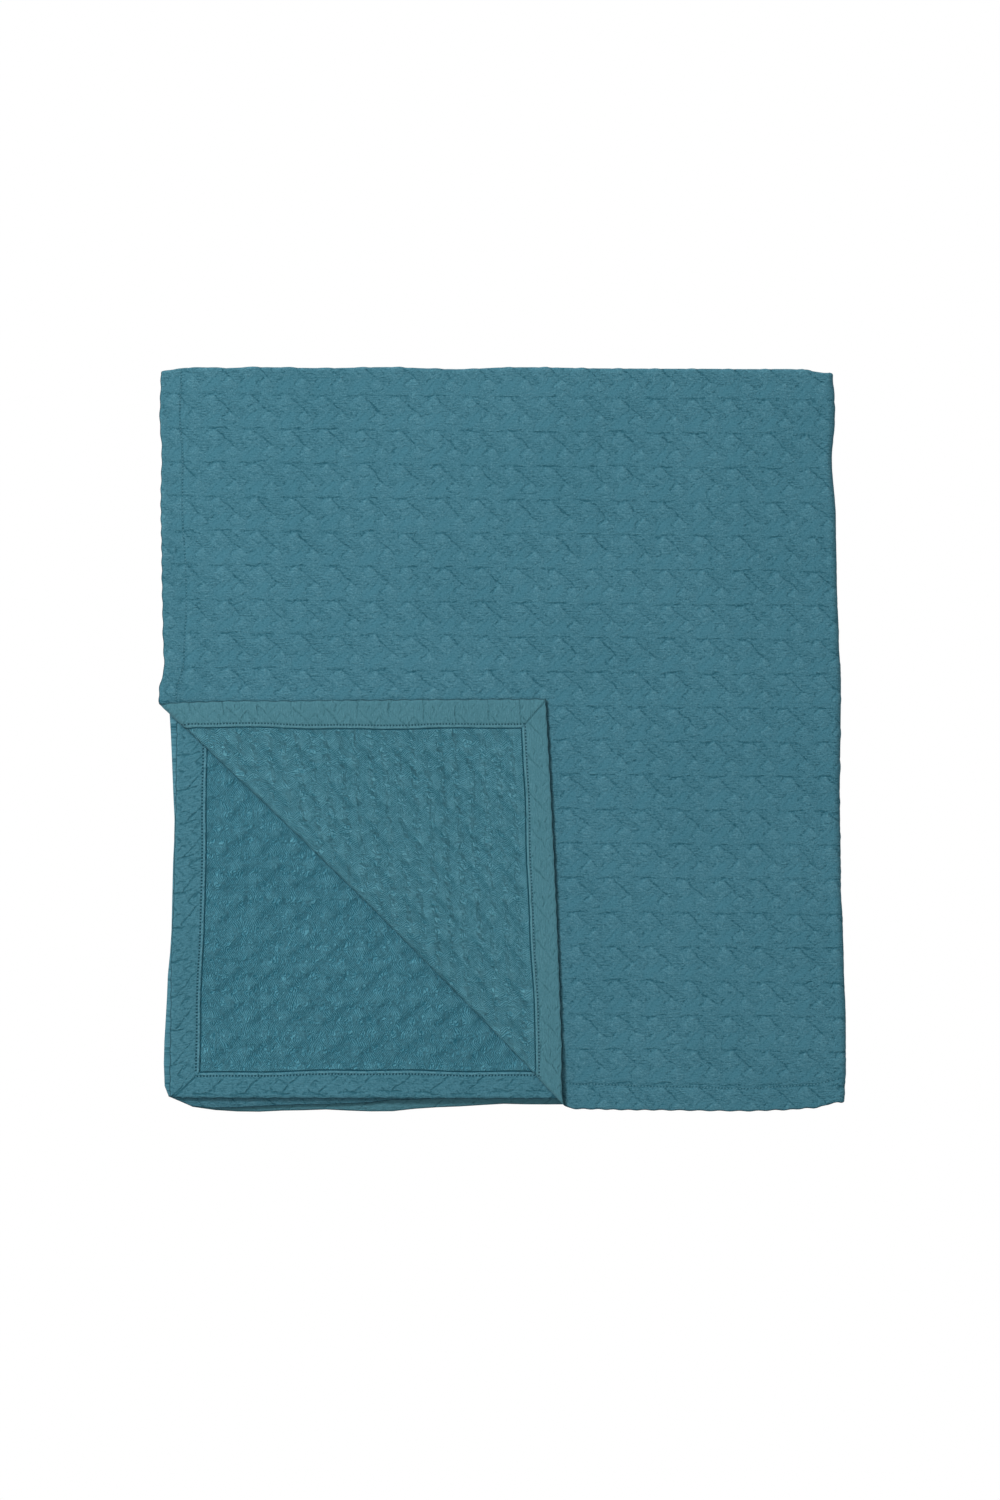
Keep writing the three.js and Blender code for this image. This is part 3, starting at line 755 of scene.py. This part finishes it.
class Nodes:
    """Short calls for the nodes of one material."""

    def __init__(self, name):
        self.material = bpy.data.materials.new(name)
        self.material.use_nodes = True
        self.tree = self.material.node_tree
        self.tree.nodes.clear()

    def add(self, kind, inputs=(), **settings):
        node = self.tree.nodes.new(kind)
        for key, value in settings.items():
            setattr(node, key, value)
        for key, value in dict(inputs).items():
            if isinstance(value, bpy.types.NodeSocket):
                self.tree.links.new(value, node.inputs[key])
            else:
                node.inputs[key].default_value = value
        return node

    def math(self, operation, *values):
        return self.add("ShaderNodeMath", enumerate(values), operation=operation).outputs[0]

    def plus(self, a, b):
        return self.math("ADD", a, b)

    def minus(self, a, b):
        return self.math("SUBTRACT", a, b)

    def times(self, a, b):
        return self.math("MULTIPLY", a, b)

    def vector(self, operation, *values, output=0):
        node = self.add("ShaderNodeVectorMath", enumerate(values), operation=operation)
        return node.outputs[output]

    def dot(self, a, b):
        return self.vector("DOT_PRODUCT", a, b, output="Value")

    def combine(self, x, y, z=0.0):
        return self.add("ShaderNodeCombineXYZ", {0: x, 1: y, 2: z}).outputs[0]

    def separate(self, vector):
        return self.add("ShaderNodeSeparateXYZ", {0: vector}).outputs

    def ease(self, value, low, high, to_low=0.0, to_high=1.0):
        """Goes smoothly from one value to another as an input runs from low to high."""
        node = self.add("ShaderNodeMapRange", {0: value, 1: low, 2: high, 3: to_low, 4: to_high},
                        interpolation_type="SMOOTHSTEP", clamp=True)
        return node.outputs[0]

    def noise(self, vector, scale, detail=2.0, rough=0.5):
        inputs = {"Vector": vector, "Scale": scale, "Detail": detail, "Roughness": rough}
        return self.add("ShaderNodeTexNoise", inputs).outputs

    def mix_value(self, share, a, b):
        return self.add("ShaderNodeMix", {0: share, 2: a, 3: b}, data_type="FLOAT").outputs[0]

    def mix_colour(self, share, a, b, blend="MIX"):
        node = self.add("ShaderNodeMix", {0: share, 6: a, 7: b}, data_type="RGBA", blend_type=blend)
        return node.outputs[2]

    def sine(self, value, pitch):
        return self.math("SINE", self.times(value, 2 * math.pi / pitch))

    def joined(self, operation, values):
        """Joins values one after another by an operation of two."""
        total = values[0]
        for value in values[1:]:
            total = self.math(operation, total, value)
        return total

    def surface(self, inputs, kind="ShaderNodeBsdfPrincipled"):
        """Ends the material in a shader with these inputs."""
        shader = self.add(kind, inputs)
        output = self.add("ShaderNodeOutputMaterial")
        self.tree.links.new(shader.outputs[0], output.inputs[0])


def draw_lines(nodes, place, lines, softness):
    """How dark and how light the lines of a cell make each place, as two values from 0 to 1."""
    dark, light = [], []
    for x0, y0, x1, y1, wide, tone in lines:
        far = far_from_line(nodes, place, (x0, y0, x1, y1))
        shown = nodes.ease(far, wide * 0.2, wide + softness, abs(tone), 0.0)
        (dark if tone < 0 else light).append(shown)
    return nodes.joined("MAXIMUM", dark), nodes.joined("MAXIMUM", light)


def cell_place(nodes, s, t, warp, strength):
    """The place in the pattern's cell, drawn a little crooked by noise."""
    x = nodes.times(nodes.minus(s, SIDE + ORIGIN[0]), 1 / UNIT)
    y = nodes.times(nodes.minus(ORIGIN[1] + FRONT, t), 1 / UNIT)
    shift = nodes.separate(warp)
    x = nodes.plus(x, nodes.times(nodes.minus(shift[0], 0.5), strength))
    y = nodes.plus(y, nodes.times(nodes.minus(shift[1], 0.5), strength))
    flat = nodes.combine(x, y)
    a = nodes.dot(flat, (TO_CELL[0, 0], TO_CELL[0, 1], 0.0))
    b = nodes.dot(flat, (TO_CELL[1, 0], TO_CELL[1, 1], 0.0))
    a = nodes.plus(nodes.math("FRACT", nodes.minus(a, CELL_START[0])), CELL_START[0])
    b = nodes.plus(nodes.math("FRACT", nodes.minus(b, CELL_START[1])), CELL_START[1])
    cell_x = nodes.plus(nodes.times(a, CELL_ACROSS[0]), nodes.times(b, CELL_DOWN[0]))
    cell_y = nodes.plus(nodes.times(a, CELL_ACROSS[1]), nodes.times(b, CELL_DOWN[1]))
    return nodes.combine(cell_x, cell_y)


# Colours in linear light. The tints of the wrong side are factors, for the flap and the layer under it;
# the under layer's darker tint is painted shade.
BASE = (0.0575, 0.1865, 0.2425, 1.0)
DARK = (0.0200, 0.1020, 0.1400, 1.0)
LIGHT = (0.1050, 0.2700, 0.3350, 1.0)
THREAD = (0.1050, 0.2700, 0.3300, 1.0)
BACK_TINT = (0.98, 1.09, 1.08, 1.0)
UNDER_SHADE_TINT = (0.86, 1.05, 1.07, 1.0)
HEM_TINT = (0.0740, 0.2000, 0.2300, 1.0)
# The colour of painted shade in the pressed lines and needle holes, the shadow line by the hem and along
# the cloth's edges.
DEEP_SHADE = (0.0060, 0.0400, 0.0600, 1.0)
# How much lighter in tone the wrong side is.
BACK_LIGHTER = 0.10


def far_from_line(nodes, place, line):
    """Distance from a line of a cell, ends counted."""
    x0, y0, x1, y1 = line
    length = math.hypot(x1 - x0, y1 - y0)
    dx, dy = (x1 - x0) / length, (y1 - y0) / length
    off = nodes.vector("SUBTRACT", place, ((x0 + x1) / 2, (y0 + y1) / 2, 0.0))
    run = nodes.math("ABSOLUTE", nodes.dot(off, (dx, dy, 0.0)))
    beyond = nodes.math("MAXIMUM", nodes.minus(run, length / 2), 0.0)
    side = nodes.math("ABSOLUTE", nodes.dot(off, (-dy, dx, 0.0)))
    return nodes.plus(side, beyond)


def lozenge_mask(nodes, place, size, blur):
    """One inside the lozenges of a cell and nothing outside."""
    distances = []
    for x, y in LOZENGE_MIDDLES:
        off = nodes.vector("ABSOLUTE", nodes.vector("SUBTRACT", place, (x, y, 0.0)))
        distances.append(nodes.dot(off, (1.0, 1.06, 0.0)))
    return nodes.ease(nodes.joined("MINIMUM", distances), size - blur, size + blur, 1.0, 0.0)


def body_mask(nodes, place, lines, half_width, blur):
    """One inside the straps whose middle lines are given."""
    rows = lines_in_cell([line + (half_width, -1.0) for line in lines], blur)
    nearest = nodes.joined("MINIMUM", [far_from_line(nodes, place, row[:4]) for row in rows])
    return nodes.ease(nearest, half_width - blur, half_width + blur, 1.0, 0.0)


def wander_nodes(nodes, run):
    """The same strays as wander gives, for the material."""
    waves = []
    for far, length, start in WANDER:
        wave = nodes.math("SINE", nodes.plus(nodes.times(run, 1 / length), start))
        waves.append(nodes.times(wave, far))
    return nodes.joined("ADD", waves)


def stitch_line_distances(nodes, back, du, dv, half):
    """Distances that reach HEM_WIDTH where the hem lines run, from the left and the near edge."""
    if back:
        upper_left = nodes.math("MULTIPLY_ADD", dv, HEM_TAPER, HEM_NARROW["upper_left"])
        narrow_u = nodes.mix_value(half, upper_left, HEM_NARROW["under_left"])
        narrow_v = nodes.mix_value(half, HEM_NARROW["upper_near"], HEM_NARROW["under_near"])
    else:
        swing = LINE_SWING
        rising = nodes.ease(dv, swing["start"], swing["middle"], swing["near"], swing["far"])
        falling = nodes.ease(dv, swing["middle"], swing["end"], swing["far"], swing["last"])
        line_at = nodes.math("MINIMUM", rising, falling)
        narrow_u = nodes.minus(HEM_WIDTH - FRONT_INSET, line_at)
        narrow_v = HEM_WIDTH - FRONT_INSET - LINE_NEAR
    line_u = nodes.plus(nodes.plus(du, narrow_u), wander_nodes(nodes, dv))
    line_v = nodes.plus(nodes.plus(dv, narrow_v), wander_nodes(nodes, du))
    return line_u, line_v


def needle_holes(nodes, run, from_line, depth):
    """A row of holes along the stitch line, one between each two stitches."""
    step = nodes.math("PINGPONG", nodes.minus(run, STITCH_START), STITCH_PITCH / 2)
    step = nodes.minus(STITCH_PITCH / 2, step)
    hole = nodes.vector("LENGTH", nodes.combine(from_line, step), output="Value")
    return nodes.ease(hole, 0.5, 1.15, depth, 0.0)


def band_about(nodes, value, middle, inner, outer, strength):
    """As strong as asked within inner of the middle, and nothing past outer."""
    far = nodes.math("ABSOLUTE", nodes.minus(value, middle))
    return nodes.ease(far, inner, outer, strength, 0.0)


def hatch_of_threads(nodes, s, t, flat, patchy):
    """The fine hatch of the wrong side, which wavers from side to side."""
    zigzag = nodes.math("PINGPONG", nodes.plus(t, nodes.times(patchy, 12.0)), 6.5)
    waver = nodes.times(nodes.noise(flat, 0.12, 2.0)[0], 9.0)
    hatch = nodes.plus(s, nodes.plus(nodes.times(zigzag, 0.65), waver))
    uneven = nodes.ease(nodes.noise(flat, 0.5, 1.0)[0], 0.3, 0.7, 0.8, 1.7)
    return nodes.times(nodes.sine(hatch, 1.65), uneven)


def weighted_sum(nodes, start, parts, weights):
    """Adds the named parts, each times its weight."""
    total = start
    for name, weight in weights.items():
        total = nodes.math("MULTIPLY_ADD", parts[name], weight, total)
    return total


# What each part of the surface adds to its height, in millimetres, and to its tone: the dark and light
# lines, the lozenges, the puckers or hatch, the threads, the grain and the broad unevenness. In the
# tone, the dark lines are painted shade, and the light lines and the lighter lozenges are painted
# highlights.
HEIGHTS = dict(dark=-0.45, light=0.22, lozenge=0.25, ripples=0.32, weave=0.03, rough=1.3)
TONES = dict(dark=-0.42, light=0.22, ripples=0.30, rough=2.1, lozenge=0.10, broad=0.25)


def cloth_material(name, back):
    """The cloth of one side: the right side, or the wrong side with its hems."""
    nodes = Nodes(name)
    place = nodes.add("ShaderNodeAttribute", attribute_name="cloth").outputs["Vector"]
    s, t, side = nodes.separate(place)
    edges = nodes.add("ShaderNodeAttribute", attribute_name="edges").outputs["Vector"]
    du, dv, half = nodes.separate(edges)
    flat = nodes.combine(s, t, nodes.times(side, 900.0))
    warp = nodes.noise(flat, 0.085, 3.0)[1]
    at = cell_place(nodes, s, t, warp, 8.0)
    patchy = nodes.noise(flat, 0.06, 3.0, 0.65)[0]
    strength = nodes.ease(patchy, 0.32, 0.68, 0.5, 1.25)
    broken = nodes.ease(nodes.noise(flat, 0.35, 2.0, 0.6)[0], 0.3, 0.62, 0.35, 1.15)

    # Short puckers that run across the cloth, and the grain of its threads.
    pucker_place = nodes.combine(nodes.times(s, 0.16), nodes.times(t, 0.85), nodes.times(side, 90.0))
    folds = nodes.ease(nodes.noise(pucker_place, 1.0, 2.0, 0.55)[0], 0.36, 0.60)
    puckers = nodes.minus(folds, 0.62)
    grain_place = nodes.combine(nodes.times(s, 0.75), t, side)
    grain = nodes.minus(nodes.noise(grain_place, 0.72, 3.0, 0.85)[0], 0.5)
    weave = nodes.times(nodes.sine(s, 1.25), nodes.sine(t, 1.05))

    # The hem's stitch line is pressed in, with a row of needle holes in it. Both are darkened as painted
    # shade.
    line_u, line_v = stitch_line_distances(nodes, back, du, dv, half)
    to_line = nodes.math("MINIMUM", line_u, line_v)
    from_line = nodes.minus(to_line, HEM_WIDTH - (BACK_INSET if back else FRONT_INSET))
    press = band_about(nodes, from_line, 0.0, 0.3, 1.4, 0.12 if back else 0.35)
    hole = needle_holes(nodes, nodes.math("MAXIMUM", du, dv), from_line, 1.5 if back else 0.85)
    pressed = nodes.math("MAXIMUM", press, hole)

    if back:
        # The hem has a light lip, painted as a highlight, a dark line painted as the shadow where the
        # turned edge ends, and a mitred corner.
        on_hem = nodes.ease(to_line, HEM_WIDTH - 0.6, HEM_WIDTH + 0.6, 1.0, 0.0)
        off_hem = nodes.minus(1.0, on_hem)
        lip = band_about(nodes, from_line, LIP_PAST, 0.5, 1.2, 1.5)
        hem_edge_shadow = band_about(nodes, from_line, HEM_SHADOW_PAST, 0.25, 0.90, 1.5)
        mitre = nodes.times(band_about(nodes, line_u, line_v, 0.6, 1.7, 1.1), on_hem)
        pressed = nodes.math("MAXIMUM", pressed, nodes.math("MAXIMUM", hem_edge_shadow, mitre))
        # Creases on the hem, and the right side's pattern lines that show on it, are darkened as painted
        # shade.
        wrinkle = nodes.add("ShaderNodeTexVoronoi", {"Vector": nodes.combine(s, t), "Scale": 0.042,
                                                     "Randomness": 0.9}, feature="DISTANCE_TO_EDGE")
        wrinkles = nodes.ease(wrinkle.outputs["Distance"], 0.012, 0.045, 0.3, 0.0)
        # A hem shows the right side of the cloth, and so its pattern.
        turned_up = nodes.times(draw_lines(nodes, at, FRONT_CELL, 1.0)[0], strength)
        wrinkles = nodes.math("MAXIMUM", wrinkles, nodes.times(turned_up, 1.6))
        wrinkles = nodes.times(nodes.times(wrinkles, on_hem), broken)
        # The dark bands and lower rims are painted shade, and the light rims and tips are painted
        # highlights.
        dark, light = draw_lines(nodes, at, BACK_CELL, 1.6)
        dark = nodes.math("MAXIMUM", nodes.times(dark, off_hem), wrinkles)
        light = nodes.plus(nodes.times(light, off_hem), lip)
        # The lozenges are painted lighter, as highlights on their raised puffs.
        lozenge = nodes.times(lozenge_mask(nodes, at, 7.0, 6.0), nodes.times(off_hem, 2.0))
        hatch = hatch_of_threads(nodes, s, t, flat, patchy)
        ripples = nodes.mix_value(on_hem, hatch, nodes.times(puckers, 0.7))
        rough_part = 0.75
        # The layer under the flap and its hems are painted darker, as shade under the folded cloth.
        hem_tone = nodes.times(on_hem, nodes.mix_value(half, -0.01, -0.10))
        own_tone = nodes.plus(hem_tone, nodes.math("MULTIPLY_ADD", half, -0.05, BACK_LIGHTER))
    else:
        # The dark lines are painted shade, and the light lines are painted highlights.
        dark, light = draw_lines(nodes, at, FRONT_CELL, 1.0)
        dark = nodes.times(nodes.times(dark, strength), broken)
        light = nodes.times(light, nodes.ease(patchy, 0.3, 0.7, 1.3, 0.5))
        # The lozenges are painted lighter, as highlights on their raised puffs.
        lozenge = lozenge_mask(nodes, at, 8.3, 2.2)
        strap = body_mask(nodes, at, STRAP_BODIES, 5.0, 1.6)
        plain = body_mask(nodes, at, PLAIN_BODIES, 4.5, 1.6)
        ripples = nodes.times(puckers, nodes.ease(strap, 0.0, 1.0, 0.6, 1.0))
        ripples = nodes.times(ripples, nodes.ease(plain, 0.0, 1.0, 1.0, 0.5))
        rough_part = nodes.ease(plain, 0.0, 1.0, 1.0, 0.75)
        # The straps are painted a little darker as shade, most of all the plain strap that runs under.
        own_tone = nodes.plus(nodes.times(strap, -0.01), nodes.times(plain, -0.05))

    # Painted shade along the cloth's own edges, darkest within about a millimetre of them.
    near_edge = nodes.math("MINIMUM", du, dv)
    rim = nodes.ease(near_edge, 0.2, 1.1, 0.8, 0.0)
    parts = dict(
        dark=nodes.math("MAXIMUM", nodes.math("MAXIMUM", dark, pressed), rim),
        light=light,
        lozenge=lozenge,
        ripples=ripples,
        weave=weave,
        rough=nodes.times(grain, rough_part),
        broad=nodes.minus(nodes.noise(flat, 0.012, 3.0, 0.55)[0], 0.5),
    )
    height = weighted_sum(nodes, 0.0, parts, HEIGHTS)
    bump = nodes.add("ShaderNodeBump", {"Strength": 0.95, "Distance": 0.001, "Height": height})

    # The tone runs from dark (-0.5) over the plain colour (0) to light (0.5).
    tone = weighted_sum(nodes, own_tone, parts, TONES)
    colour = nodes.mix_colour(nodes.ease(tone, -0.5, 0.0), DARK, BASE)
    colour = nodes.mix_colour(nodes.ease(tone, 0.0, 0.5), colour, LIGHT)
    if back:
        # The hems of the layer under the flap take less of the light hem tint, as painted shade.
        hem_share = nodes.times(on_hem, nodes.mix_value(half, 0.5, 0.1))
        colour = nodes.mix_colour(hem_share, colour, HEM_TINT)
    # Painted shade: the deepest pressed lines, the needle holes, the hem's shadow line and the cloth's
    # edges take the deep shade colour.
    painted_shade_share = nodes.math("MAXIMUM", nodes.ease(pressed, 0.9, 1.6, 0.0, 0.8),
                            nodes.ease(near_edge, 0.2, 1.1, 0.6, 0.0))
    colour = nodes.mix_colour(painted_shade_share, colour, DEEP_SHADE)
    if back:
        tint = nodes.mix_colour(half, BACK_TINT, UNDER_SHADE_TINT)
        tinted = nodes.mix_colour(1.0, colour, tint, "MULTIPLY")
        colour = nodes.mix_colour(off_hem, colour, tinted)
    nodes.surface({
        "Base Color": colour, "Roughness": 0.92, "Specular IOR Level": 0.10, "Sheen Weight": 0.04,
        "Sheen Roughness": 0.5, "Sheen Tint": (0.55, 0.85, 0.95, 1.0), "Normal": bump.outputs[0],
    })
    return nodes.material


def thread_material():
    nodes = Nodes("hem thread")
    place = nodes.add("ShaderNodeTexCoord").outputs["Object"]
    twist = nodes.add("ShaderNodeTexWave", {"Vector": place, "Scale": 900.0, "Distortion": 1.0},
                      bands_direction="DIAGONAL")
    colour = nodes.mix_colour(twist.outputs[1], BASE, THREAD)
    bump = nodes.add("ShaderNodeBump", {"Strength": 0.3, "Distance": 0.0001, "Height": twist.outputs[1]})
    nodes.surface({"Base Color": colour, "Roughness": 0.75, "Specular IOR Level": 0.3,
                   "Normal": bump.outputs[0]})
    return nodes.material


def white_material():
    nodes = Nodes("white surface")
    nodes.surface({"Color": (1.0, 1.0, 1.0, 1.0), "Strength": 1.0}, "ShaderNodeEmission")
    return nodes.material


cloth.data.materials.append(cloth_material("matelasse right side", False))
cloth.data.materials.append(cloth_material("matelasse wrong side", True))
wrong_side = np.concatenate([throw["side"][throw["triangles"]].mean(axis=1),
                             throw["side"][throw["quads"]].mean(axis=1)]) > 0.5
cloth.data.polygons.foreach_set("material_index", wrong_side.astype(np.int32))
stitches.data.materials.append(thread_material())

# A white floor that glows evenly, so wide that no view shows its edge, a little under the pile.
FLOOR_HALF = 12.0
FLOOR_DROP = 0.0002
floor_mesh = bpy.data.meshes.new("floor")
floor_mesh.from_pydata([(-FLOOR_HALF, -FLOOR_HALF, 0), (FLOOR_HALF, -FLOOR_HALF, 0),
                        (FLOOR_HALF, FLOOR_HALF, 0), (-FLOOR_HALF, FLOOR_HALF, 0)], [], [(0, 1, 2, 3)])
floor = bpy.data.objects.new("floor", floor_mesh)
floor.location.z = -FLOOR_DROP
bpy.context.collection.objects.link(floor)
floor_mesh.materials.append(white_material())


def area_light(name, place, size, power):
    """A round lamp of this size in metres and power in watts, turned to the pile."""
    data = bpy.data.lights.new(name, "AREA")
    data.shape = "DISK"
    data.size = size
    data.energy = power
    lamp = bpy.data.objects.new(name, data)
    lamp.location = place
    lamp.rotation_euler = (-Vector(place)).to_track_quat("-Z", "Y").to_euler()
    bpy.context.collection.objects.link(lamp)


# The picture is 0.875 m wide and 1.3125 m high at PLANE_HEIGHT, a little under the pile's top.
CAMERA_HEIGHT = 4.0
PLANE_HEIGHT = 0.018
PICTURE_HIGH = 1.3125
PICTURE_MIDDLE = (-0.0022, -0.0092)
SENSOR_HIGH = 36.0
camera_data = bpy.data.cameras.new("camera")
camera_data.sensor_fit = "VERTICAL"
camera_data.sensor_height = SENSOR_HIGH
camera_data.lens = SENSOR_HIGH * (CAMERA_HEIGHT - PLANE_HEIGHT) / PICTURE_HIGH
camera = bpy.data.objects.new("camera", camera_data)
camera.location = PICTURE_MIDDLE + (CAMERA_HEIGHT,)
bpy.context.collection.objects.link(camera)
bpy.context.scene.camera = camera

# The key light comes from the far left, and a broad weak one fills its shadows from above.
area_light("key", place=(-1.96, 2.18, 3.05), size=1.1, power=169.0)
area_light("fill", place=(-0.4, -0.9, 3.0), size=2.5, power=27.0)
SURROUNDING_LIGHT = 0.25
world = bpy.data.worlds.new("world")
world.use_nodes = True
world.node_tree.nodes["Background"].inputs[0].default_value = (1.0, 1.0, 1.0, 1.0)
world.node_tree.nodes["Background"].inputs[1].default_value = SURROUNDING_LIGHT
bpy.context.scene.world = world
bpy.context.scene.view_settings.view_transform = "Standard"

for piece in (cloth, stitches):
    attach(piece, "root")
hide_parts("throw")
